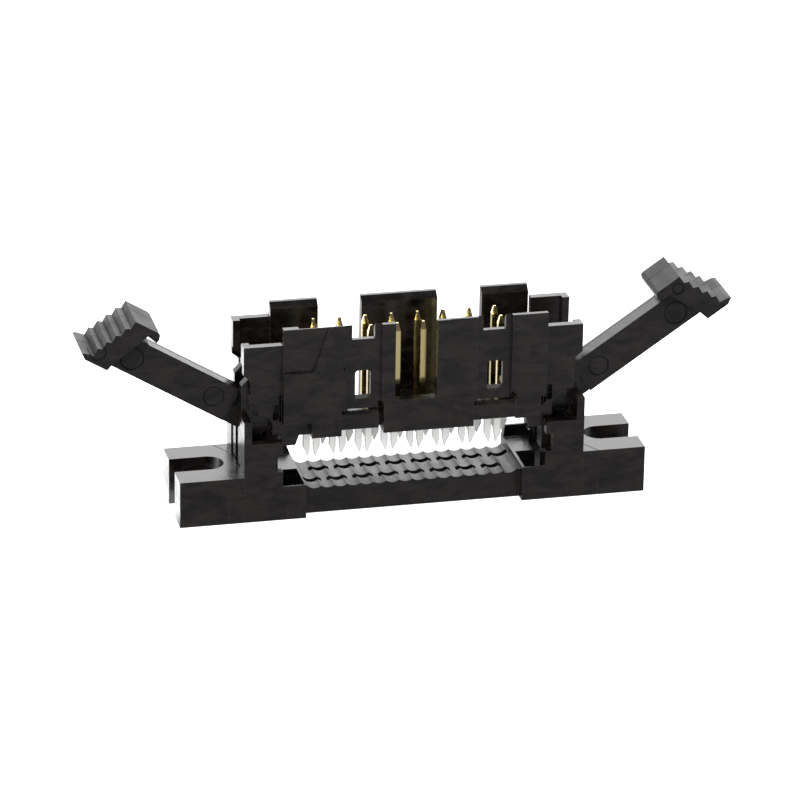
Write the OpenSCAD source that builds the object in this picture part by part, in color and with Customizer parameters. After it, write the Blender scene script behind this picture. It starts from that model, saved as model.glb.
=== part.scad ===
// Ribbon-cable box header with two ejector latches, held on its cable cover
// before the cable is pressed in. X runs along the contact rows, Y across
// them and Z up the mating pins. The origin is the centre of the cover's foot.

/* [Contacts] */
// Contact columns along the header
columns = 8; // [8:1:10]
// Spacing of neighbouring contacts and of the two rows
pitch = 2.54; // [2.4:0.02:2.7]
// Side of the square mating pins
pin_w = 0.64; // [0.5:0.02:0.7]
// Height of the pins' tips above the foot
pin_top = 18.17; // [16:0.1:18.6]
// Length of the pyramid at each pin's tip
pin_tip = 0.8; // [0.4:0.1:1.2]
// Thickness of the fork blades
fork_t = 0.35; // [0.25:0.05:0.4]
// Width of the fork blades
fork_w = 1.65; // [1.3:0.05:1.7]
// Height of the fork tips above the foot
fork_tip_z = 5.2; // [4.8:0.1:6]
// Gap between the two tines of a fork
fork_gap = 0.3; // [0.2:0.02:0.36]

/* [Header] */
// Room between the end contacts and the header's end
end_margin = 3.91; // [3.6:0.01:4.5]
// Depth of the header over its outer walls
header_d = 8.3; // [7.8:0.1:9]
// Thickness of the long walls
wall_t = 1.0; // [0.8:0.05:1.1]
// Top of the cavity floor
floor_z = 9.3; // [9:0.1:9.8]
// Underside of the insulator block
insulator_z = 7.8; // [7.7:0.1:8]
// Half depth of the insulator block
insulator_hy = 1.75; // [1.7:0.05:2]
// Top of the long walls
header_top = 19.25; // [18.8:0.05:21]
// Lead-in chamfer along the cavity's mouth
lead_in = 0.55; // [0.2:0.05:0.7]
// Width of the polarising slot
key_w = 4.1; // [3.5:0.1:4.6]
// Bottom of the polarising slot
key_z = 11.4; // [11:0.1:14]
// Depth of the sunk panels beside the polarising slot
panel_sink = 0.45; // [0.2:0.05:0.5]
// Top of the sills below the sunk panels
sill_z = 10.5; // [10.3:0.05:10.55]
// Width of the windows in the sunk panels
window_w = 1.5; // [1.2:0.05:1.6]

/* [Header ends] */
// Top of the front cheeks
cheek_top_front = 17.5; // [16.5:0.1:18]
// Top of the rear cheeks
cheek_top_rear = 18.2; // [17:0.1:18.8]
// Thickness of the cheeks
cheek_t = 0.8; // [0.6:0.05:0.9]
// Bottom of the guide legs
leg_z = 4.4; // [4.1:0.1:5]
// Top of the guide legs
leg_top = 11.65; // [11:0.05:11.9]
// Top of the fork walls above the legs
fork_wall_top = 14.65; // [14:0.05:15]

/* [Cable cover] */
// Overall length over the mounting ears
cover_l = 45.6; // [43:0.2:50]
// Depth of the posts and ears
cover_d = 8.5; // [8.4:0.1:9.6]
// Top of the mounting ears
ear_h = 4.63; // [4:0.05:5]
// Width of the fixing slots in the ears
ear_slot_w = 3.1; // [2.6:0.1:3.6]
// Outer corner height of the posts
post_top = 10.25; // [9.6:0.05:10.6]
// Height of the posts' front and rear webs
web_top = 8.0; // [7.5:0.1:8.1]
// Height of the blocks inside the posts
block_h = 3.45; // [3.2:0.05:3.6]
// Height of the cable cradle's ridges
ridge_z = 2.85; // [2.6:0.05:3.2]
// Depth of the cradle's grooves
groove_d = 0.33; // [0.2:0.01:0.4]
// Depth of the cradle front to back
cradle_d = 6.3; // [5.6:0.1:6.8]
// How far the header travels when it is pressed onto the cable
press_travel = 3.6; // [3:0.1:3.6]

/* [Latches] */
// Height of the latch pivots
pivot_z = 9.2; // [9.1:0.05:9.3]
// Radius of the pivot pins
pivot_r = 1.0; // [0.8:0.05:1]
// Left latch's angle above the horizontal
left_angle = 31.2; // [31.2:0.1:60]
// Right latch's angle above the horizontal
right_angle = 34.3; // [31.2:0.1:60]
// Thickness of the latch arms
arm_t = 2.0; // [1.6:0.1:2.1]
// Thickness of the latch hubs
hub_t = 1.0; // [0.8:0.05:1.1]
// Width of the thumb grips
grip_w = 5.5; // [4:0.1:6.2]
// Distance from the pivot to the hook
hook_u = 13.2; // [12.8:0.1:14.5]
// Reach of the ejector toes from the pivot
toe_reach = 3.6; // [3.2:0.05:3.7]

/* [Fits] */
// Clearance between sliding faces
slide_gap = 0.05; // [0.03:0.01:0.08]
// Radial clearance round the pivot pins
pivot_gap = 0.05; // [0.03:0.01:0.08]
// Clearance beside the latch hubs and arms
swing_gap = 0.1; // [0.08:0.01:0.2]
// Clearance round the contacts in the insulator
contact_gap = 0.02; // [0.01:0.01:0.03]

/* [Hidden] */
$fn = 48;
e = 0.01;
wire = pitch / 2;
header_hx = (columns - 1) * pitch / 2 + end_margin;
header_hy = header_d / 2;
wall_in = header_hy - wall_t;
cover_hx = cover_l / 2;
cover_hy = cover_d / 2;
// Posts stand just outside the header's ends and as deep as the header's cheeks allow
post_in = header_hx + slide_gap + 0.02;
post_out = post_in + 3.75;
post_web = 0.9;
post_room = cover_hy - post_web;
flange_t = 0.74;
flange_in = post_out - flange_t;
mouth_hy = 2.2;
cradle_hx = post_in - 2.27;
cradle_hy = cradle_d / 2;
groove_r = (pow(wire / 2, 2) + pow(groove_d, 2)) / (2 * groove_d) + 0.25;
ear_slot_x = post_out + 2.73;
// Header ends slide inside the posts
cheek_hy = post_room - slide_gap;
leg_in = post_in + 0.08;
leg_out = post_out - 0.12;
leg_hy = mouth_hy - slide_gap;
hub_room = hub_t / 2 + swing_gap;
arm_room = arm_t / 2 + swing_gap + 0.1;
pivot_x = (post_in + post_out) / 2 + 0.055;
lower_cheek_out = flange_in - slide_gap;
cheek_bottom = web_top + 0.25;
slab_z = 8.15;
slab_hy = 3.1;
leg_bevel = 0.4;
arch_r = pivot_r + pivot_gap + 0.08;
lower_cheek_hy = cheek_hy - 0.2;
arm_start = norm([leg_out - leg_bevel - pivot_x, leg_top - pivot_z]) + swing_gap;
toe_room_in = pivot_x - norm([toe_reach, 1.35]) - swing_gap;
// Contact rows and their forks, which straddle every second wire of the cable
row_y = pitch / 2;
fork_slot_l = fork_w + 0.3;
fork_slot_w = fork_t + 0.15;
fork_slot_z = fork_tip_z - press_travel - 0.5;
// Long wall layout, measured in from the header's ends: the front wall's thick tabs with
// their lower edges, then its sunk panels with their windows, rim notches, sills and slots
slab_in = header_hx - 2.73;
wall_foot = 10.7;
panel_z = 11.35;
mark_z = 14.86;
tabs = [
    [-header_hx, -slab_in, 9.7],
    [-slab_in, 5.6 - header_hx, slab_z],
    [9.7 - header_hx, header_hx - 7.1, slab_z],
    [header_hx - 2.95, header_hx - 0.5, 8.75]
];
panels = [[5.98 - header_hx, 9.46 - header_hx], [header_hx - 6.8, header_hx - 3.47]];
window_x = [7.72 - header_hx, header_hx - 5];
notch_x = [7.72 - header_hx, header_hx - 5.15];
sills = [[5.6 - header_hx, 9.2 - header_hx], [header_hx - 7.1, header_hx - 2.95]];
wall_slots = [
    [9.2 - header_hx, 9.7 - header_hx, slab_z - 1],
    [header_hx - 3.55, header_hx - 2.95, sill_z]
];
rear_walls = [
    [0.15 - header_hx, 4.8 - header_hx],
    [9.05 - header_hx, header_hx - 9.1],
    [header_hx - 4.7, header_hx - 0.1]
];
// Moulding marks on the latches: height along the arm, sideways place and diameter
arm_marks = [[4.91, -0.14, 1.95], [13.9, 0.05, 2.25]];
gate_mark = [15.39, -2.75, 1.1];
mark_depth = 0.05;

function contact_name(i) = str("contact_", i < 10 ? "0" : "", i);
function column_x(k) = (k - (columns - 1) / 2) * pitch;

// A box between two corners
module slab(a, b) {
    translate(a)
        cube(b - a);
}

// The same pieces at both ends, mirrored about the middle
module both_ends() {
    children();
    mirror([1, 0, 0])
        children();
}

// The same pieces front and rear
module both_sides() {
    children();
    mirror([0, 1, 0])
        children();
}

// A profile in X and Z, extruded along Y between two depths
module along_y(y0, y1) {
    translate([0, y1, 0])
        rotate([90, 0, 0])
            linear_extrude(y1 - y0)
                children();
}

// ---------------------------------------------------------------- cable cover

module cable_cover() {
    color([0.09, 0.09, 0.09]) {
        difference() {
            union() {
                slab([-post_in, -cradle_hy, 0], [post_in, cradle_hy, ridge_z]);
                both_ends() {
                    slab([cradle_hx, -cover_hy, 0], [post_in + e, cover_hy, block_h]);
                    slab([post_in, -cover_hy, 0], [cover_hx, cover_hy, ear_h]);
                    both_sides()
                        post_side();
                }
            }
            cradle_grooves();
            fork_slots();
            both_ends() {
                ear_slot();
                post_well();
                both_sides()
                    for (x = [post_out - 0.05, post_out + 1.5])
                        seam([x, -cover_hy, -1], 90, ear_h + 0.5);
            }
            for (a = [0, 180])
                rotate([0, 0, a])
                    translate([post_out + 0.3, -mouth_hy, ear_h])
                        rotate([0, 0, -60])
                            seam([0, 0, 0], 0, 2.4);
        }
    }
}

// One web of a post with its outer flange
module post_side() {
    along_y(-cover_hy, -post_room)
        difference() {
            polygon([
                [post_in, ear_h - 1],
                [post_out, ear_h - 1],
                [post_out, post_top],
                [flange_in, post_top],
                [flange_in, web_top],
                [post_in, web_top]
            ]);
            translate([post_in - 1, 4.95])
                square([1.68, 1.8]);
        }
    slab([flange_in, -cover_hy, ear_h - 1], [post_out, -mouth_hy, post_top]);
}

// Well that takes the header's guide legs, through the foot
module post_well() {
    slab([post_in, -mouth_hy, -1], [leg_out + slide_gap, mouth_hy, ear_h + e]);
    slab([post_in - e, -post_room, cheek_bottom - press_travel - 0.15],
         [flange_in, post_room, post_top]);
    slab([post_in - e, -hub_room - 0.1, block_h - 0.9],
         [post_in + 1, hub_room + 0.1, ear_h]);
}

// Fixing slot, open at the ear's end
module ear_slot() {
    translate([ear_slot_x, 0, -1])
        cylinder(d = ear_slot_w, h = ear_h + 2);
    slab([ear_slot_x, -ear_slot_w / 2, -1], [cover_hx + 1, ear_slot_w / 2, ear_h + 1]);
}

// One rounded groove for each wire of the cable
module cradle_grooves() {
    for (k = [0:2 * columns - 1])
        translate([(k - columns + 0.5) * wire, cover_hy, ridge_z + groove_r - groove_d])
            rotate([90, 0, 0])
                cylinder(r = groove_r, h = cover_d);
}

// Fine witness line of a mould seam, upright at 90 degrees and along X at 0
module seam(start, angle, length) {
    translate(start)
        rotate([0, -angle, 0])
            translate([0, -0.04, -0.04])
                cube([length, 0.08, 0.08]);
}

// Slots that receive the fork tips when the header is pressed down
module fork_slots() {
    for (k = [0:columns - 1])
        for (s = [-1, 1])
            slab([column_x(k) + s * wire / 2 - fork_slot_l / 2, s * row_y - fork_slot_w / 2, fork_slot_z],
                 [column_x(k) + s * wire / 2 + fork_slot_l / 2, s * row_y + fork_slot_w / 2, ridge_z + 1]);
}

// ---------------------------------------------------------------- header body

module header_body() {
    color([0.1, 0.1, 0.1])
        difference() {
            union() {
                front_wall();
                rear_wall();
                insulator();
                both_ends()
                    header_end();
            }
            contact_pockets();
            both_ends()
                toe_slot();
        }
}

// Long wall section with the lead-in chamfer on its inner top edge, at the front
module wall_section(x0, x1, z0, z1) {
    translate([x0, 0, 0])
        rotate([90, 0, 90])
            linear_extrude(x1 - x0)
                polygon([
                    [-header_hy, z0],
                    [-wall_in, z0],
                    [-wall_in, z1 - lead_in],
                    [-wall_in - lead_in, z1],
                    [-header_hy, z1]
                ]);
}

module front_wall() {
    difference() {
        union() {
            wall_section(-header_hx, header_hx, wall_foot, header_top);
            for (t = tabs)
                slab([t[0], -header_hy, t[2]], [t[1], -wall_in, wall_foot + e]);
            slab([-header_hx, -wall_in - lead_in - e, header_top - lead_in - e],
                 [-header_hx + 1.5, -wall_in, header_top]);
        }
        slab([-key_w / 2, -header_hy - 1, key_z], [key_w / 2, -wall_in + 1, header_top + 1]);
        for (k = [0, 1]) {
            sunk_panel(panels[k], notch_x[k]);
            window(window_x[k]);
            slab([wall_slots[k][0], -header_hy - 1, wall_slots[k][2]],
                 [wall_slots[k][1], -wall_in + 1, panel_z]);
        }
        pin_one_mark();
        slab([header_hx - 9.51, -header_hy - 1, panel_z],
             [panels[1][0], -header_hy + 0.1, header_top + 1]);
        slab([header_hx - 0.5, -header_hy - 1, 8], [header_hx + 1, -wall_in + 1, 9.16]);
    }
    for (t = [tabs[1], tabs[2], tabs[3]])
        slab([t[0], -header_hy + e, max(t[2], slab_z)], [t[1], -insulator_hy + e, floor_z]);
    for (x = sills)
        sill(x[0], x[1]);
}

// Sunk panel with a notch in its rim and a second, shallower step round the window
module sunk_panel(x, notch) {
    slab([x[0], -header_hy - 1, wall_foot], [x[1], -header_hy + panel_sink, header_top + 1]);
    slab([x[0] + 0.08, -header_hy - 1, panel_z + 0.1], [x[1], -header_hy + panel_sink + 0.05, 14.7]);
    slab([notch - 1.1, -header_hy - 1, 17.75], [notch + 1.1, -wall_in + 1, header_top + 1]);
}

// Round-cornered window whose sill slopes down towards the front
module window(cx) {
    corner = 0.35;
    half = window_w / 2;
    along_y(-header_hy - 1, -wall_in + 1)
        translate([cx, 0]) {
            translate([-half, 11.9])
                square([window_w, 2.65 - corner]);
            for (s = [-1, 1])
                translate([s * (half - corner), 14.55 - corner])
                    circle(r = corner);
            translate([-half + corner, 12])
                square([window_w - 2 * corner, 2.55]);
        }
    translate([cx - half, 0, 0])
        rotate([90, 0, 90])
            linear_extrude(window_w)
                polygon([[-header_hy, 11.4], [-wall_in + e, 11.9], [-wall_in + e, 12], [-header_hy, 12]]);
}

// Sill that carries the cavity floor forward below a sunk panel
module sill(x0, x1) {
    front = -header_hy + 0.05;
    translate([x0 - e, 0, 0])
        rotate([90, 0, 90])
            linear_extrude(x1 - x0 + 2 * e)
                polygon([
                    [front, 8.75],
                    [front, sill_z - 0.27],
                    [front + 0.27, sill_z],
                    [-insulator_hy, sill_z],
                    [-insulator_hy, floor_z - 0.1],
                    [-insulator_hy + e, floor_z - 0.1],
                    [-insulator_hy + e, 8.75]
                ]);
}

// Field round the raised triangle that marks contact one; the wall's end keeps its full top
module pin_one_mark() {
    along_y(-header_hy - 1, -header_hy + 0.3)
        difference() {
            translate([-header_hx - 1, mark_z])
                square([panels[0][0] + header_hx + 1, header_top - mark_z + 1]);
            translate([4.27 - header_hx, mark_z - e])
                polygon([[-1.4, 0], [1.49, 0], [0, 4.25]]);
        }
}

module rear_wall() {
    mirror([0, 1, 0])
        for (w = rear_walls) {
            wall_section(w[0], w[1], slab_z, header_top - 0.05);
            slab([w[0], -wall_in - e, slab_z], [w[1], -insulator_hy + e, floor_z]);
        }
}

// Block that carries the contacts, grooved underneath like the cover's cradle
module insulator() {
    difference() {
        slab([-cradle_hx, -insulator_hy, insulator_z], [cradle_hx, insulator_hy, floor_z]);
        for (k = [0:2 * columns - 1])
            translate([(k - columns + 0.5) * wire, insulator_hy + 1, insulator_z - 0.2])
                rotate([90, 0, 0])
                    cylinder(r = 0.5, h = 2 * insulator_hy + 2);
    }
    slab([-header_hx, -leg_hy, slab_z], [header_hx, leg_hy, floor_z]);
    both_ends()
        slab([slab_in, -slab_hy, slab_z], [header_hx, slab_hy, floor_z]);
}

// One end of the header: guide legs, fork walls and cheeks
module header_end() {
    both_sides() {
        difference() {
            union() {
                slab([header_hx - 1, -leg_hy, slab_z], [leg_in + e, -hub_room, floor_z]);
                guide_leg();
                fork_wall();
            }
            pivot_bore();
        }
        lower_cheek();
        end_lug();
    }
    upper_cheek(cheek_top_front);
    mirror([0, 1, 0])
        upper_cheek(cheek_top_rear);
}

// Leg beside the latch hub, bevelled at the top where the arm swings past
module guide_leg() {
    along_y(-leg_hy, -hub_room)
        polygon([
            [leg_in, leg_z],
            [leg_out, leg_z],
            [leg_out, leg_top - leg_bevel],
            [leg_out - leg_bevel, leg_top],
            [leg_in, leg_top]
        ]);
}

// Wall beside the latch arm, with a sloped shoulder at its outer top
module fork_wall() {
    along_y(-leg_hy, -arm_room)
        polygon([
            [leg_in, leg_top - leg_bevel],
            [leg_out, leg_top - leg_bevel],
            [leg_out, 13.2],
            [leg_out - 0.75, 13.95],
            [leg_out - 0.75, fork_wall_top],
            [leg_in, fork_wall_top]
        ]);
}

// Bore for the latch pin with the narrower snap-in throat below it
module pivot_bore() {
    translate([pivot_x, 0, pivot_z])
        rotate([90, 0, 0])
            cylinder(r = pivot_r + pivot_gap, h = cover_hy);
    slab([pivot_x - 0.8 * pivot_r, -cover_hy, leg_z - 1], [pivot_x + 0.8 * pivot_r, 0, pivot_z]);
}

// Cheek that slides inside the post's web, arched over the pivot, with a bevelled outer edge
module lower_cheek() {
    difference() {
        along_y(-lower_cheek_hy, -leg_hy + e)
            difference() {
                polygon([
                    [header_hx - e, cheek_bottom],
                    [lower_cheek_out, cheek_bottom],
                    [lower_cheek_out, 9.3],
                    [lower_cheek_out - 0.75, 9.3],
                    [lower_cheek_out - 0.75, 10.75],
                    [lower_cheek_out, 10.75],
                    [lower_cheek_out, 12.5],
                    [header_hx - e, 12.5]
                ]);
                translate([pivot_x, pivot_z])
                    circle(r = arch_r);
                translate([pivot_x - arch_r, cheek_bottom - 1])
                    square([2 * arch_r, pivot_z - cheek_bottom + 1]);
                translate([header_hx + 0.28, 9.85])
                    square([0.57, 1.57]);
            }
        slab([header_hx + 0.03, -cheek_hy, 9.6], [header_hx + 0.25, -leg_hy - 0.25, 12.4]);
        translate([lower_cheek_out, -lower_cheek_hy, cheek_bottom - 1])
            linear_extrude(5.5)
                polygon([[-0.7, -e], [e, -e], [e, 0.35]]);
    }
}

// Upper cheek, which lengthens the long wall past the pins, with its end bead
module upper_cheek(top) {
    corner = 0.6;
    lip_z = 13.4;
    difference() {
        along_y(-cheek_hy, -cheek_hy + cheek_t)
            polygon(concat(
                [[header_hx - e, 12.4]],
                [for (a = [-90:15:0])
                    [lower_cheek_out - corner + corner * cos(a), 12.4 + corner + corner * sin(a)]],
                [
                    [lower_cheek_out, 14.15],
                    [leg_out, 14.7],
                    [leg_out, top],
                    [header_hx - e, top]
                ]
            ));
        slab([header_hx, -cheek_hy - 1, 12], [leg_out, -cheek_hy + 0.06, lip_z]);
    }
    along_y(-cheek_hy, -cheek_hy + cheek_t + 0.5)
        polygon([
            [leg_out - 0.7, 14.9],
            [leg_out, 15.5],
            [leg_out, top],
            [leg_out - 0.7, top]
        ]);
}

// Lug below the slab's end that keeps the cable in line
module end_lug() {
    along_y(-slab_hy, -hub_room)
        polygon([
            [header_hx - 1.7, slab_z + e],
            [header_hx - 1.35, 7.15],
            [header_hx, 7.15],
            [header_hx, slab_z + e]
        ]);
}

// Slot through the slab for the ejector toe
module toe_slot() {
    slab([toe_room_in, -hub_room, insulator_z - 1], [leg_out + 1, hub_room, floor_z + e]);
}

// Square holes for the pins and flat pockets for their fork blades
module contact_pockets() {
    for (k = [0:columns - 1])
        for (s = [-1, 1])
            translate([column_x(k), s * row_y, 0]) {
                slab([-pin_w / 2 - contact_gap, -pin_w / 2 - contact_gap, 8.6],
                     [pin_w / 2 + contact_gap, pin_w / 2 + contact_gap, floor_z + 1]);
                mirror([s < 0 ? 1 : 0, 0, 0])
                    slab([-pin_w / 2 - contact_gap, -fork_t / 2 - contact_gap, insulator_z - 1],
                         [wire / 2 + fork_w / 2 + contact_gap, fork_t / 2 + contact_gap, 8.7 + contact_gap]);
            }
}

// -------------------------------------------------------------------- latches

// Latch with its pivot at the origin and its arm along +Z, outer side towards +X
module latch() {
    difference() {
        union() {
            along_y(-arm_t / 2, arm_t / 2)
                arm_profile();
            along_y(-hub_t / 2, hub_t / 2) {
                circle(r = 1.66);
                polygon([
                    [1.66, 0],
                    [1.66, arm_start + 0.5],
                    [-1.84, arm_start + 0.5],
                    [-1.84, 0.6],
                    [-1.66, 0]
                ]);
                toe_profile();
            }
            along_y(-grip_w / 2, grip_w / 2)
                grip_profile();
            translate([0, leg_hy - 0.1, 0])
                rotate([90, 0, 0])
                    cylinder(r = pivot_r, h = 2 * leg_hy - 0.2);
        }
        for (m = arm_marks)
            mark(m, arm_t / 2);
        mark(gate_mark, grip_w / 2);
    }
}

// Shallow round mark on the front of the latch
module mark(m, half) {
    translate([m[1], -half + mark_depth, m[0]])
        rotate([90, 0, 0])
            cylinder(d = m[2], h = 1);
}

module arm_profile() {
    polygon([
        [1.56, arm_start],
        [1.56, 16],
        [-1.6, 16],
        [-1.94, 13.46],
        [-1.84, 13.1],
        [-1.84, arm_start]
    ]);
}

// Ejector toe, which lifts the mating plug as the arm swings out
module toe_profile() {
    polygon([
        [0, -0.35],
        [-toe_reach, -0.35],
        [-toe_reach, -0.8],
        [-toe_reach + 0.7, -1.35],
        [0, -1.35]
    ]);
}

// Hook and stepped thumb grip
module grip_profile() {
    polygon([
        [-2.79, hook_u + 0.05],
        [-3.2, hook_u],
        [-3.62, hook_u + 0.15],
        [-3.74, hook_u + 0.5],
        [-3.74, hook_u + 2.95],
        [-2.92, hook_u + 2.95],
        [-2.69, hook_u + 3.42],
        [-1.89, hook_u + 3.4],
        [-1.7, hook_u + 3.87],
        [-0.9, hook_u + 3.85],
        [-0.76, hook_u + 4.32],
        [0.06, hook_u + 4.33],
        [0.19, hook_u + 4.74],
        [0.99, hook_u + 4.71],
        [1.13, hook_u + 5.51],
        [1.31, hook_u + 5.87],
        [1.46, hook_u + 5.62],
        [1.7, hook_u + 5.28],
        [1.7, hook_u + 2.85],
        [0.82, hook_u + 2.65],
        [-2.99, hook_u + 1.12]
    ]);
}

module latch_left() {
    color([0.11, 0.11, 0.11])
        mirror([1, 0, 0])
            translate([pivot_x, 0, pivot_z])
                rotate([0, 90 - left_angle, 0])
                    latch();
}

module latch_right() {
    color([0.11, 0.11, 0.11])
        translate([pivot_x, 0, pivot_z])
            rotate([0, 90 - right_angle, 0])
                latch();
}

// ------------------------------------------------------------------- contacts

// Square pin above, flat two-tined fork below, stepped half a wire sideways
module contact(i) {
    front = i % 2 == 1;
    color([0.83, 0.66, 0.27])
        translate([column_x(floor((i - 1) / 2)), front ? -row_y : row_y, 0])
            mirror([front ? 1 : 0, 0, 0])
                union() {
                    slab([-pin_w / 2, -pin_w / 2, 8.62], [pin_w / 2, pin_w / 2, pin_top - pin_tip]);
                    pin_point();
                    fork();
                }
}

// Four-sided point at the pin's end
module pin_point() {
    intersection() {
        along_y(-pin_w / 2, pin_w / 2)
            tip_outline();
        rotate([0, 0, 90])
            along_y(-pin_w / 2, pin_w / 2)
                tip_outline();
    }
}

module tip_outline() {
    polygon([
        [-pin_w / 2, pin_top - pin_tip - e],
        [pin_w / 2, pin_top - pin_tip - e],
        [pin_w / 5, pin_top],
        [-pin_w / 5, pin_top]
    ]);
}

module fork() {
    along_y(-fork_t / 2, fork_t / 2)
        difference() {
            polygon([
                [-pin_w / 2, 8.7],
                [wire / 2 + fork_w / 2, 8.7],
                [wire / 2 + fork_w / 2, fork_tip_z + 0.9],
                [wire / 2 + fork_w / 4, fork_tip_z],
                [wire / 2 - fork_w / 4, fork_tip_z],
                [wire / 2 - fork_w / 2, fork_tip_z + 0.9],
                [wire / 2 - fork_w / 2, 7.9],
                [-pin_w / 2, 7.9]
            ]);
            translate([wire / 2, 0])
                polygon([
                    [-fork_gap / 2, 7.6],
                    [fork_gap / 2, 7.6],
                    [fork_gap / 2, fork_tip_z + 0.8],
                    [fork_w / 4 - 0.1, fork_tip_z - e],
                    [-fork_w / 4 + 0.1, fork_tip_z - e],
                    [-fork_gap / 2, fork_tip_z + 0.8]
                ]);
        }
}

cable_cover();
header_body();
latch_left();
latch_right();
for (i = [1:2 * columns])
    contact(i);
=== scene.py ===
import math

import bmesh
import bpy
from mathutils import Matrix, Vector


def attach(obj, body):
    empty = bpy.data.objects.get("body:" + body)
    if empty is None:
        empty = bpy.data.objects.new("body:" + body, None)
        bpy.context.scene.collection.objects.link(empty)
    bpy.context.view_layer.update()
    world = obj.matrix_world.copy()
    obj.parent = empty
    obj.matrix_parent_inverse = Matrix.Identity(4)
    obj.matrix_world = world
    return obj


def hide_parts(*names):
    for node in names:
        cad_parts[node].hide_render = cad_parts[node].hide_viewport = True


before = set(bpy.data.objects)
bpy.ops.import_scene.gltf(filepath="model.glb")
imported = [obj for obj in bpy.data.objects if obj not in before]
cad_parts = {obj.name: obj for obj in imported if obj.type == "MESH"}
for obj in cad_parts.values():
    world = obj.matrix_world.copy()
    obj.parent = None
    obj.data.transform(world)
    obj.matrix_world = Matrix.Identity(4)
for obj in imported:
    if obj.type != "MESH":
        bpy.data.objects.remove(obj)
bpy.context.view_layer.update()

scene = bpy.context.scene
scene.view_settings.view_transform = "Standard"

MM = 0.001
CONTACTS = sorted(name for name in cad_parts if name.startswith("contact_"))

# Black plastic: its colour where the mottling is dark and pale, and the paler colour painted along
# its edges as a painted highlight
BLACK_DARK = (0.0022, 0.0014, 0.0012)
BLACK_PALE = (0.0125, 0.0092, 0.0084)
BLACK_EDGE_HIGHLIGHT = (0.055, 0.047, 0.043)
EDGE_HIGHLIGHT_SHARE = 0.8
PLASTIC_IOR = 1.52
GLOSS_DARK, GLOSS_PALE = 0.2, 0.3
GRAIN_DEPTH = 0.004 * MM
FLOW_DEPTH = 0.010 * MM
EDGE_RADIUS = 0.06 * MM

# Matt places on the plastic, as roughness added to its gloss
GRIP_MATT, CRADLE_MATT, RING_MATT = 0.34, 0.2, 0.4

# The latches' mould halves meet a little behind the middle of the arm
SEAM_Y = 0.5 * MM
SEAM_WIDTH = 0.12 * MM
SEAM_DEPTH = 0.12 * MM
SEAM_BLACK = (0.003, 0.003, 0.003)

# The latches, in millimetres: pivots, rest angles, and the mean direction of the arms
PIVOT_X, PIVOT_Z = 14.8, 9.2
LATCH_ANGLES = {"left": 31.2, "right": 34.3}
ARM_RUN, ARM_RISE = 0.84, 0.54
# How far along the arm the matt thumb grip begins
GRIP_START = 13.2

# Round moulding marks on the latches' fronts: along the arm, sideways and width, in millimetres
ARM_MARKS = [(4.91, -0.14, 1.95), (13.9, 0.05, 2.25)]
GRIP_MARKS = {"left": (17.7, 0.54, 1.5), "right": (15.39, -2.75, 1.1)}
MARK_FRONT = -0.9 * MM
MARK_DEPTH = 0.03 * MM
RING_INNER, RING_OUTER = 0.02 * MM, 0.09 * MM
RING_BLACK = (0.001, 0.001, 0.001)

# Contacts: the tin-plated forks end where they enter the header's block
PLATING_Z = 8.3 * MM
PLATING_BLUR = 0.1 * MM
TIN = (0.90, 0.90, 0.88), (0.96, 0.96, 0.94)
GOLD = (0.95, 0.78, 0.34), (1.0, 0.88, 0.46)
# Darker colours painted along the contacts' edges as painted shade, and how much of it is used
TIN_EDGE_SHADE = (0.30, 0.30, 0.29)
GOLD_EDGE_SHADE = (0.16, 0.10, 0.03)
CONTACT_EDGE_SHADE = 0.85
CONTACT_EDGE_RADIUS = 0.14 * MM
TIN_ROUGHNESS, GOLD_ROUGHNESS = 0.42, 0.14
TIN_METALLIC, GOLD_METALLIC = 0.1, 1.0
DRAWN_DEPTH = 0.003 * MM

# The cover, in millimetres: half depth and the blocks beside its cradle
COVER_HY = 4.25
BLOCK_IN, BLOCK_OUT, BLOCK_TOP = 10.6, 12.87, 3.45
# The webs behind the blocks, with bevelled inner ends
WEB_OUT, WEB_FRONT, WEB_FOOT, WEB_TOP = 13.0, 3.35, 3.0, 4.41
WEB_BEVEL, WEB_CREST = 0.35, 0.25
# The pits in front of the blocks, which stop short of the front and of each block's inner end
PIT_BACK, PIT_FLOOR, PIT_LID = -0.3, 1.0, 4.0
PIT_FRONT_WALL, PIT_FOOT_WALL = 0.12, 0.7
PIT_INSET = {"left": 0.12, "right": 0.3}
# The slots that take the contacts' forks
SLOT_L, SLOT_W, SLOT_Z, SLOT_LID = 2.0, 0.74, 1.2, 5.0
# The ribbed cradle's matt finish: its half length, and its lowest and foremost places
CRADLE_REACH, CRADLE_FOOT, CRADLE_LIP = 10.45, 1.6, 0.05

# Meshes: points closer than this are one, and flatter folds than this are smooth
WELD = 0.0005 * MM
SMOOTH_ANGLE = math.radians(25)
# Contact points below this belong to the fork
FORK_TOP = 6 * MM

# What the glossy surfaces mirror in front and behind, and the level of the soft light
SHINE_FRONT = 0.45
SHINE_BACK = 2.9
SKY_LEVEL = 1.0


# ------------------------------------------------------------ building nodes

def put(tree, kind, inputs=None, **options):
    """Adds a node, sets its options, and fills its inputs or links them to sockets."""
    made = tree.nodes.new(kind)
    for option, value in options.items():
        setattr(made, option, value)
    for name, value in (inputs or {}).items():
        if isinstance(value, bpy.types.NodeSocket):
            tree.links.new(value, made.inputs[name])
        else:
            made.inputs[name].default_value = value
    return made


def maths(tree, operation, a, b=0.0, c=0.0):
    return put(tree, "ShaderNodeMath", {0: a, 1: b, 2: c}, operation=operation).outputs[0]


def multiply(tree, a, b):
    return maths(tree, "MULTIPLY", a, b)


def ramp(tree, value, start, end, low=0.0, high=1.0):
    """Value between start and end, spread smoothly from low to high."""
    made = put(tree, "ShaderNodeMapRange", {
        "Value": value, "From Min": start, "From Max": end, "To Min": low, "To Max": high,
    }, interpolation_type="SMOOTHSTEP")
    return made.outputs["Result"]


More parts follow.
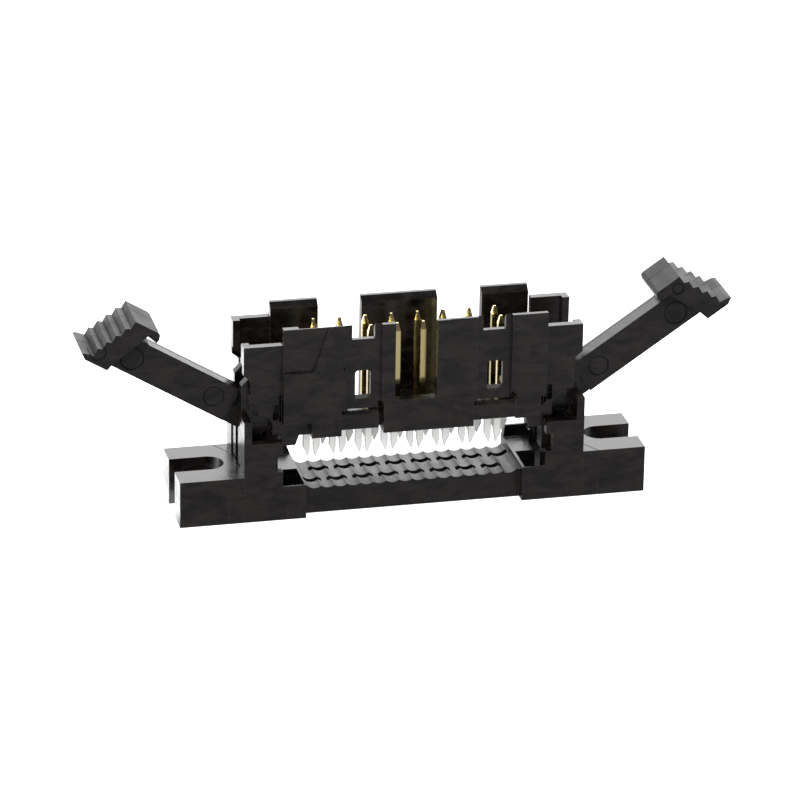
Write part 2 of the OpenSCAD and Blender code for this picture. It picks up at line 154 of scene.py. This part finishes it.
def blend(tree, mask, a, b):
    """Colour a where the mask is 0 and colour b where it is 1."""
    made = put(tree, "ShaderNodeMix", {"Factor": mask}, data_type="RGBA")
    sockets = [socket for socket in made.inputs if socket.type == "RGBA"]
    for socket, colour in zip(sockets, (a, b)):
        if isinstance(colour, bpy.types.NodeSocket):
            tree.links.new(colour, socket)
        else:
            socket.default_value = (*colour, 1)
    return [socket for socket in made.outputs if socket.type == "RGBA"][0]


def object_spot(tree):
    """Place on the piece, in metres."""
    return put(tree, "ShaderNodeTexCoord").outputs["Object"]


def object_axes(tree):
    """The same place, split into X, Y and Z."""
    return put(tree, "ShaderNodeSeparateXYZ", {0: object_spot(tree)}).outputs


def start_group(name, inputs, outputs):
    """A shader node group with named float inputs and named outputs."""
    tree = bpy.data.node_groups.new(name, "ShaderNodeTree")
    for label, value in inputs.items():
        socket = tree.interface.new_socket(label, in_out="INPUT", socket_type="NodeSocketFloat")
        socket.default_value = value
    for label, kind in outputs.items():
        tree.interface.new_socket(label, in_out="OUTPUT", socket_type="NodeSocket" + kind)
    return tree, tree.nodes.new("NodeGroupInput").outputs, tree.nodes.new("NodeGroupOutput")


# -------------------------------------------------------------- shared effects

def make_moulded_grain():
    """Fine grain of the mould's steel, and the slow mottling where the melt flowed."""
    tree, given, out = start_group(
        "moulded_grain",
        {"Grain": 9000.0, "Flow": 420.0},
        {"Height": "Float", "Mottle": "Float"},
    )
    spot = object_spot(tree)
    fine = put(tree, "ShaderNodeTexNoise", {
        "Vector": spot, "Scale": given["Grain"], "Detail": 3.0, "Roughness": 0.6,
    })
    along = put(tree, "ShaderNodeMapping", {"Vector": spot, "Scale": (1, 1, 2.4)})
    slow = put(tree, "ShaderNodeTexNoise", {
        "Vector": along.outputs[0], "Scale": given["Flow"],
        "Detail": 4.0, "Roughness": 0.55, "Distortion": 0.6,
    })
    tree.links.new(fine.outputs[0], out.inputs["Height"])
    tree.links.new(ramp(tree, slow.outputs[0], 0.3, 0.7), out.inputs["Mottle"])
    return tree


def make_rounded_edge():
    """Normal rounded over a small radius at each edge, and a mask of those edges."""
    tree, given, out = start_group(
        "rounded_edge", {"Radius": EDGE_RADIUS}, {"Normal": "Vector", "Edge": "Float"}
    )
    soft = put(tree, "ShaderNodeBevel", {"Radius": given["Radius"]}, samples=6)
    flat = put(tree, "ShaderNodeNewGeometry")
    close = put(tree, "ShaderNodeVectorMath", {
        0: soft.outputs[0], 1: flat.outputs["Normal"],
    }, operation="DOT_PRODUCT")
    tree.links.new(soft.outputs[0], out.inputs["Normal"])
    tree.links.new(ramp(tree, close.outputs["Value"], 0.98, 0.8), out.inputs["Edge"])
    return tree


def make_mould_seam():
    """Thin line where two mould halves meet, at a set distance along Y."""
    tree, given, out = start_group(
        "mould_seam", {"Place": SEAM_Y, "Width": SEAM_WIDTH}, {"Line": "Float"}
    )
    away = maths(tree, "ABSOLUTE", maths(tree, "SUBTRACT", object_axes(tree)["Y"], given["Place"]))
    share = maths(tree, "DIVIDE", away, given["Width"])
    tree.links.new(ramp(tree, share, 0.0, 1.0, 1.0, 0.0), out.inputs["Line"])
    return tree


def make_mark_ring():
    """Thin ring round an ejector or gate mark on the front of a latch."""
    tree, given, out = start_group(
        "mark_ring", {"X": 0.0, "Z": 0.0, "Radius": MM}, {"Ring": "Float"}
    )
    place = object_axes(tree)
    across = maths(tree, "SUBTRACT", place["X"], given["X"])
    upward = maths(tree, "SUBTRACT", place["Z"], given["Z"])
    square = maths(tree, "MULTIPLY_ADD", across, across, multiply(tree, upward, upward))
    outward = maths(tree, "SUBTRACT", maths(tree, "SQRT", square), given["Radius"])
    line = ramp(tree, maths(tree, "ABSOLUTE", outward), RING_INNER, RING_OUTER, 1.0, 0.0)
    front = maths(tree, "LESS_THAN", place["Y"], MARK_FRONT)
    tree.links.new(multiply(tree, line, front), out.inputs["Ring"])
    return tree


def make_grip_finish():
    """Mask of the thumb grips at the latches' outer ends, left matt from the mould."""
    tree, given, out = start_group("grip_finish", {"Start": GRIP_START * MM}, {"Mask": "Float"})
    place = object_axes(tree)
    reach = maths(tree, "SUBTRACT", maths(tree, "ABSOLUTE", place["X"]), PIVOT_X * MM)
    rise = maths(tree, "SUBTRACT", place["Z"], PIVOT_Z * MM)
    along = maths(tree, "MULTIPLY_ADD", rise, ARM_RISE, multiply(tree, reach, ARM_RUN))
    tree.links.new(maths(tree, "GREATER_THAN", along, given["Start"]), out.inputs["Mask"])
    return tree


def make_cradle_finish():
    """Mask of the ribbed cradle on the cover, left matt from the mould."""
    tree, given, out = start_group(
        "cradle_finish", {"Reach": CRADLE_REACH * MM, "Foot": CRADLE_FOOT * MM}, {"Mask": "Float"}
    )
    place = object_axes(tree)
    inside = maths(tree, "LESS_THAN", maths(tree, "ABSOLUTE", place["X"]), given["Reach"])
    raised = maths(tree, "GREATER_THAN", place["Z"], given["Foot"])
    behind_lip = maths(tree, "GREATER_THAN", place["Y"], (CRADLE_LIP - COVER_HY) * MM)
    top = multiply(tree, inside, raised)
    tree.links.new(multiply(tree, top, behind_lip), out.inputs["Mask"])
    return tree


# ----------------------------------------------------------------- materials

def start_material(name):
    paint = bpy.data.materials.new(name)
    paint.use_nodes = True
    tree = paint.node_tree
    return paint, tree, tree.nodes["Principled BSDF"].inputs


def use_group(tree, group, **values):
    made = put(tree, "ShaderNodeGroup", node_tree=group)
    for label, value in values.items():
        made.inputs[label].default_value = value
    return made.outputs


def latch_spot(side, along, sideways):
    """X and Z, in millimetres, of a point on a latch at rest."""
    angle = math.radians(LATCH_ANGLES[side])
    x = PIVOT_X + along * math.cos(angle) + sideways * math.sin(angle)
    z = PIVOT_Z + along * math.sin(angle) - sideways * math.cos(angle)
    return (-x if side == "left" else x), z


def add_latch_details(tree, effects, side, colour, gloss, height):
    """The parting line, the rings round the moulding marks, and the matt grip of one latch."""
    line = use_group(tree, effects["seam"])["Line"]
    colour = blend(tree, line, colour, SEAM_BLACK)
    height = maths(tree, "SUBTRACT", height, multiply(tree, line, SEAM_DEPTH))
    for along, sideways, width in ARM_MARKS + [GRIP_MARKS[side]]:
        x, z = latch_spot(side, along, sideways)
        ring = use_group(tree, effects["mark"], X=x * MM, Z=z * MM, Radius=width / 2 * MM)["Ring"]
        colour = blend(tree, ring, colour, RING_BLACK)
        gloss = maths(tree, "ADD", gloss, multiply(tree, ring, RING_MATT))
        height = maths(tree, "SUBTRACT", height, multiply(tree, ring, MARK_DEPTH))
    grip = use_group(tree, effects["grip"])["Mask"]
    gloss = maths(tree, "ADD", gloss, multiply(tree, grip, GRIP_MATT))
    return colour, gloss, height


def black_moulding(name, effects, side=None, cradle=False):
    """Glossy black moulded plastic, with a painted highlight in a paler colour along its edges."""
    paint, tree, skin = start_material(name)
    grain = use_group(tree, effects["grain"])
    edge = use_group(tree, effects["edge"])
    body = blend(tree, grain["Mottle"], BLACK_DARK, BLACK_PALE)
    # Painted highlight: the edges are blended towards the paler colour
    colour = blend(tree, multiply(tree, edge["Edge"], EDGE_HIGHLIGHT_SHARE), body, BLACK_EDGE_HIGHLIGHT)
    flow = multiply(tree, grain["Mottle"], FLOW_DEPTH)
    height = maths(tree, "MULTIPLY_ADD", grain["Height"], GRAIN_DEPTH, flow)
    gloss = ramp(tree, grain["Mottle"], 0, 1, GLOSS_DARK, GLOSS_PALE)
    if side:
        colour, gloss, height = add_latch_details(tree, effects, side, colour, gloss, height)
    if cradle:
        worked = use_group(tree, effects["cradle"])["Mask"]
        gloss = maths(tree, "ADD", gloss, multiply(tree, worked, CRADLE_MATT))
        coarse = multiply(tree, worked, grain["Height"])
        height = maths(tree, "MULTIPLY_ADD", coarse, 2 * GRAIN_DEPTH, height)
    bump = put(tree, "ShaderNodeBump", {
        "Strength": 1.0, "Distance": 1.0, "Height": height, "Normal": edge["Normal"],
    })
    tree.links.new(colour, skin["Base Color"])
    tree.links.new(gloss, skin["Roughness"])
    tree.links.new(bump.outputs[0], skin["Normal"])
    skin["IOR"].default_value = PLASTIC_IOR
    return paint


def contact_plating(name, effects):
    """Gold on the mating pins, matt tin on the forks, both drawn lengthwise."""
    paint, tree, skin = start_material(name)
    spot = object_spot(tree)
    height = put(tree, "ShaderNodeSeparateXYZ", {0: spot}).outputs["Z"]
    gold = ramp(tree, height, PLATING_Z - PLATING_BLUR, PLATING_Z + PLATING_BLUR)
    lengthwise = put(tree, "ShaderNodeMapping", {"Vector": spot, "Scale": (1, 1, 0.06)})
    drawn = put(tree, "ShaderNodeTexNoise", {
        "Vector": lengthwise.outputs[0], "Scale": 14000.0, "Detail": 3.0,
    }).outputs[0]
    edge = use_group(tree, effects["edge"], Radius=CONTACT_EDGE_RADIUS)
    # Painted shade: the edges of forks and pins are darkened towards these colours
    edge_shade = multiply(tree, edge["Edge"], CONTACT_EDGE_SHADE)
    fork = blend(tree, edge_shade, blend(tree, drawn, *TIN), TIN_EDGE_SHADE)
    pin = blend(tree, edge_shade, blend(tree, drawn, *GOLD), GOLD_EDGE_SHADE)
    bump = put(tree, "ShaderNodeBump", {
        "Strength": 0.3, "Distance": DRAWN_DEPTH, "Height": drawn, "Normal": edge["Normal"],
    })
    tree.links.new(blend(tree, gold, fork, pin), skin["Base Color"])
    tree.links.new(ramp(tree, gold, 0, 1, TIN_ROUGHNESS, GOLD_ROUGHNESS), skin["Roughness"])
    tree.links.new(ramp(tree, gold, 0, 1, TIN_METALLIC, GOLD_METALLIC), skin["Metallic"])
    tree.links.new(bump.outputs[0], skin["Normal"])
    return paint


def dress(piece, paint):
    piece.data.materials.clear()
    piece.data.materials.append(paint)


# --------------------------------------------------------------------- cover

def add_loft(target, sections):
    """Adds a closed solid to the bmesh through a list of sections, given in millimetres."""
    rings = [[target.verts.new(Vector(point) * MM) for point in section] for section in sections]
    target.faces.new(rings[0])
    target.faces.new(rings[-1])
    for lower, upper in zip(rings, rings[1:]):
        for k in range(len(lower)):
            after = (k + 1) % len(lower)
            target.faces.new([lower[k], lower[after], upper[after], upper[k]])


def corners(low_x, high_x, low_y, high_y):
    return [(low_x, low_y), (high_x, low_y), (high_x, high_y), (low_x, high_y)]


def raise_to(z, outline):
    return [(x, y, z) for x, y in outline]


def tool_from(name, shape):
    """A closed tool for cutting or joining, made from a bmesh."""
    bmesh.ops.recalc_face_normals(shape, faces=shape.faces)
    mesh = bpy.data.meshes.new(name)
    shape.to_mesh(mesh)
    shape.free()
    tool = bpy.data.objects.new(name, mesh)
    scene.collection.objects.link(tool)
    return tool


def combine(body, tool, operation):
    """Runs an exact Boolean on the body and takes the result as its mesh."""
    step = body.modifiers.new("step", "BOOLEAN")
    step.operation, step.object, step.solver = operation, tool, "EXACT"
    shaped = body.evaluated_get(bpy.context.evaluated_depsgraph_get())
    result = bpy.data.meshes.new_from_object(shaped)
    body.modifiers.remove(step)
    body.data = result
    bpy.data.objects.remove(tool)


def fork_centre(contact):
    """X and Y, in millimetres, of the middle of a contact's fork."""
    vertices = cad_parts[contact].data.vertices
    points = [vertex.co for vertex in vertices if vertex.co.z < FORK_TOP]
    middle = []
    for axis in (0, 1):
        along = [point[axis] / MM for point in points]
        middle.append((min(along) + max(along)) / 2)
    return middle


def copy_cad_cover():
    """A copy of the CAD cover with its double points joined, ready for the Booleans."""
    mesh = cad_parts["cable_cover"].data.copy()
    whole = bmesh.new()
    whole.from_mesh(mesh)
    bmesh.ops.remove_doubles(whole, verts=whole.verts, dist=WELD)
    whole.to_mesh(mesh)
    whole.free()
    cover = bpy.data.objects.new("cover_moulding", mesh)
    scene.collection.objects.link(cover)
    return cover


def rear_webs():
    """A low web behind each end block, bevelled at its front and its inner end."""
    webs = bmesh.new()
    for side in (-1, 1):
        foot = corners(side * BLOCK_IN, side * WEB_OUT, WEB_FRONT, COVER_HY)
        crest = corners(
            side * (BLOCK_IN + WEB_BEVEL), side * WEB_OUT, COVER_HY - WEB_CREST, COVER_HY
        )
        add_loft(webs, [
            raise_to(WEB_FOOT, foot), raise_to(BLOCK_TOP, foot), raise_to(WEB_TOP, crest),
        ])
    return tool_from("webs", webs)


def slots_and_pits():
    """A slot for each contact's fork, and a pit in front of each end block."""
    cuts = bmesh.new()
    for contact in CONTACTS:
        x, y = fork_centre(contact)
        mouth = corners(x - SLOT_L / 2, x + SLOT_L / 2, y - SLOT_W / 2, y + SLOT_W / 2)
        add_loft(cuts, [raise_to(SLOT_Z, mouth), raise_to(SLOT_LID, mouth)])
    pit = [
        (PIT_FRONT_WALL - COVER_HY, PIT_LID), (PIT_FRONT_WALL - COVER_HY, BLOCK_TOP),
        (PIT_FOOT_WALL - COVER_HY, PIT_FLOOR), (PIT_BACK, PIT_FLOOR), (PIT_BACK, PIT_LID),
    ]
    ends = [
        (-BLOCK_OUT, -BLOCK_IN - PIT_INSET["left"]),
        (BLOCK_IN + PIT_INSET["right"], BLOCK_OUT),
    ]
    for end in ends:
        add_loft(cuts, [[(x, y, z) for y, z in pit] for x in end])
    return tool_from("cuts", cuts)


def soften(cover):
    """Cleans the mesh, and keeps only its real edges sharp."""
    whole = bmesh.new()
    whole.from_mesh(cover.data)
    bmesh.ops.remove_doubles(whole, verts=whole.verts, dist=WELD)
    bmesh.ops.dissolve_degenerate(whole, edges=whole.edges, dist=WELD)
    for face in whole.faces:
        face.smooth = True
    for edge in whole.edges:
        edge.smooth = len(edge.link_faces) == 2 and edge.calc_face_angle() < SMOOTH_ANGLE
    whole.to_mesh(cover.data)
    whole.free()


def make_cover():
    """The cover with full-width fork slots, a pit in front of each end block and a web behind."""
    cover = copy_cad_cover()
    combine(cover, rear_webs(), "UNION")
    combine(cover, slots_and_pits(), "DIFFERENCE")
    soften(cover)
    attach(cover, "cover")
    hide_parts("cable_cover")
    return cover


# -------------------------------------------------------------------- studio

def aim_camera():
    """Long lens, a little to the left of the header and well above it."""
    turn, tilt, roll = math.radians(-13.47), math.radians(22.78), math.radians(0.94)
    target, distance = Vector((-0.575, 0, 9.63)) * MM, 445.549 * MM
    away = Vector((
        math.sin(turn) * math.cos(tilt), -math.cos(turn) * math.cos(tilt), math.sin(tilt),
    ))
    right = (-away).cross(Vector((0, 0, 1))).normalized()
    up = right.cross(-away)
    x_axis = right * math.cos(roll) + up * math.sin(roll)
    y_axis = up * math.cos(roll) - right * math.sin(roll)
    place = target + away * distance
    camera = bpy.data.objects.new("camera", bpy.data.cameras.new("camera"))
    camera.matrix_world = Matrix((
        (x_axis.x, y_axis.x, away.x, place.x),
        (x_axis.y, y_axis.y, away.y, place.y),
        (x_axis.z, y_axis.z, away.z, place.z),
        (0, 0, 0, 1),
    ))
    camera.data.sensor_width = 36
    camera.data.lens = 209.33
    camera.data.clip_start = 0.01
    scene.collection.objects.link(camera)
    scene.camera = camera


def glow(tree, strength):
    return put(tree, "ShaderNodeEmission", {"Strength": strength}).outputs[0]


def sky(tree, strength):
    white = (1, 1, 1, 1)
    return put(tree, "ShaderNodeBackground", {"Color": white, "Strength": strength}).outputs[0]


def choose(tree, mask, a, b):
    """Shader a where the mask is 0 and shader b where it is 1."""
    return put(tree, "ShaderNodeMixShader", {0: mask, 1: a, 2: b}).outputs[0]


def paint_floor():
    """White to the eye; to glossy surfaces it is dim in front and bright behind, mostly at left."""
    paint = bpy.data.materials.new("pale_floor")
    paint.use_nodes = True
    tree = paint.node_tree
    tree.nodes.clear()
    path = put(tree, "ShaderNodeLightPath").outputs
    place = object_axes(tree)
    matt = put(tree, "ShaderNodeBsdfDiffuse", {"Color": (0.86, 0.86, 0.86, 1)}).outputs[0]
    lift = glow(tree, multiply(tree, path["Is Camera Ray"], 0.9))
    seen = put(tree, "ShaderNodeAddShader", {0: matt, 1: lift}).outputs[0]
    front = ramp(tree, place["Y"], -60 * MM, -8 * MM, SHINE_FRONT, 0.75 * SHINE_FRONT)
    sideways = ramp(tree, place["X"], -24 * MM, -12 * MM, SHINE_BACK, 0.33 * SHINE_BACK)
    back = multiply(tree, sideways, ramp(tree, place["Y"], -5.5 * MM, 0))
    mirrored = glow(tree, maths(tree, "MAXIMUM", front, back))
    surface = choose(tree, path["Is Glossy Ray"], seen, mirrored)
    put(tree, "ShaderNodeOutputMaterial", {"Surface": surface})
    return paint


def lay_floor():
    half, z = 3.0, -0.05 * MM
    mesh = bpy.data.meshes.new("floor")
    outline = raise_to(z, corners(-half, half, -half, half))
    mesh.from_pydata(outline, [], [(0, 1, 2, 3)])
    mesh.materials.append(paint_floor())
    floor = bpy.data.objects.new("floor", mesh)
    scene.collection.objects.link(floor)


def fill_sky():
    """White surroundings; to glossy surfaces they are dim in front and at left, bright behind."""
    world = bpy.data.worlds.new("studio")
    scene.world = world
    world.use_nodes = True
    tree = world.node_tree
    tree.nodes.clear()
    path = put(tree, "ShaderNodeLightPath").outputs
    way = put(tree, "ShaderNodeTexCoord").outputs["Generated"]
    ways = put(tree, "ShaderNodeSeparateXYZ", {0: way}).outputs
    upward = ramp(tree, ways["Z"], -0.05, 0.35, 0.7 * SHINE_BACK, SHINE_BACK)
    rightward = ramp(tree, ways["X"], -0.42, -0.2, 0.3, 1)
    backward = ramp(tree, ways["Y"], -0.2, 0.6, 0.05, 1)
    mirrored = multiply(tree, multiply(tree, upward, rightward), backward)
    unseen = choose(tree, path["Is Glossy Ray"], sky(tree, SKY_LEVEL), sky(tree, mirrored))
    surface = choose(tree, path["Is Camera Ray"], unseen, sky(tree, 1.0))
    put(tree, "ShaderNodeOutputWorld", {"Surface": surface})


def hang_lamp(name, place, size, power):
    """Soft rectangular lamp, turned towards the middle of the object."""
    middle = Vector((0, 0, 10 * MM))
    lamp = bpy.data.lights.new(name, "AREA")
    lamp.shape = "RECTANGLE"
    lamp.size, lamp.size_y = size
    lamp.energy = power
    holder = bpy.data.objects.new(name, lamp)
    holder.location = place
    holder.rotation_euler = (Vector(place) - middle).to_track_quat("Z", "Y").to_euler()
    scene.collection.objects.link(holder)


# ------------------------------------------------------------------ assembly

aim_camera()
lay_floor()
fill_sky()
hang_lamp("soft_front", (-0.45, -0.6, 0.75), (0.6, 0.6), 5)
hang_lamp("soft_back", (0.2, 0.6, 0.7), (0.9, 0.5), 5)

shared = {
    "grain": make_moulded_grain(),
    "edge": make_rounded_edge(),
    "seam": make_mould_seam(),
    "mark": make_mark_ring(),
    "grip": make_grip_finish(),
    "cradle": make_cradle_finish(),
}
dress(make_cover(), black_moulding("black_cover", shared, cradle=True))
dress(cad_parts["header_body"], black_moulding("black_header", shared))
for latch_side in LATCH_ANGLES:
    latch_paint = black_moulding("black_latch_" + latch_side, shared, side=latch_side)
    dress(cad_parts["latch_" + latch_side], latch_paint)
plating = contact_plating("contact_plating", shared)
for contact_name in CONTACTS:
    dress(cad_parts[contact_name], plating)
